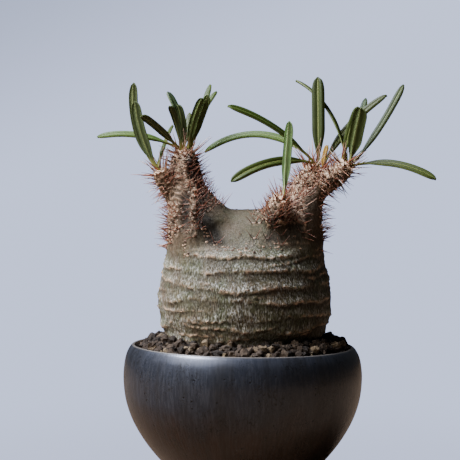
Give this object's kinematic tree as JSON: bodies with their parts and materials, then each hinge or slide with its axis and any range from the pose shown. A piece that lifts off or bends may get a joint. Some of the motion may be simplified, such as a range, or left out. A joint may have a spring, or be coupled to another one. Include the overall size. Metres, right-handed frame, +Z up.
{
  "type": "potted caudex plant",
  "caption": "Swollen grey caudex plant with spiny arms and tufts of narrow leaves, standing in soil in a round dark glazed ceramic pot.",
  "frame": {"origin": "centre of the pot's foot, on the surface that it stands on", "axes": "+Z up through the plant; the front of the plant, as pictured, faces -Y, and +X is to its right"},
  "size_m": [0.1684, 0.12, 0.2128],
  "materials": {
    "glaze": "satin gunmetal glaze with fine streaks and small dark pits, browner low down",
    "soil": "coarse matt grains, dark brown to beige, with dark gaps",
    "bark": "matt grey-green bark with paler wavy ring folds, and reddish brown spines",
    "leaf": "satin olive green upper side with a paler midrib, grey-green below"
  },
  "bodies": {
    "root": {"pot": "glaze", "soil": "soil", "caudex": "bark", "leaf_left_branchlet_1": "leaf", "leaf_left_branchlet_2": "leaf", "leaf_left_branchlet_3": "leaf", "leaf_left_arm_1": "leaf", "leaf_left_arm_2": "leaf", "leaf_left_arm_3": "leaf", "leaf_left_arm_4": "leaf", "leaf_left_arm_5": "leaf", "leaf_left_arm_6": "leaf", "leaf_left_arm_7": "leaf", "leaf_left_arm_8": "leaf", "leaf_left_arm_9": "leaf", "leaf_left_arm_10": "leaf", "leaf_right_arm_1": "leaf", "leaf_right_arm_2": "leaf", "leaf_right_arm_3": "leaf", "leaf_right_arm_4": "leaf", "leaf_right_arm_5": "leaf", "leaf_right_arm_6": "leaf", "leaf_right_fork_1": "leaf", "leaf_right_fork_2": "leaf", "leaf_right_fork_3": "leaf", "leaf_right_fork_4": "leaf", "leaf_right_fork_5": "leaf", "leaf_right_fork_6": "leaf", "leaf_front_branchlet_1": "leaf"}
  },
  "joints": []
}
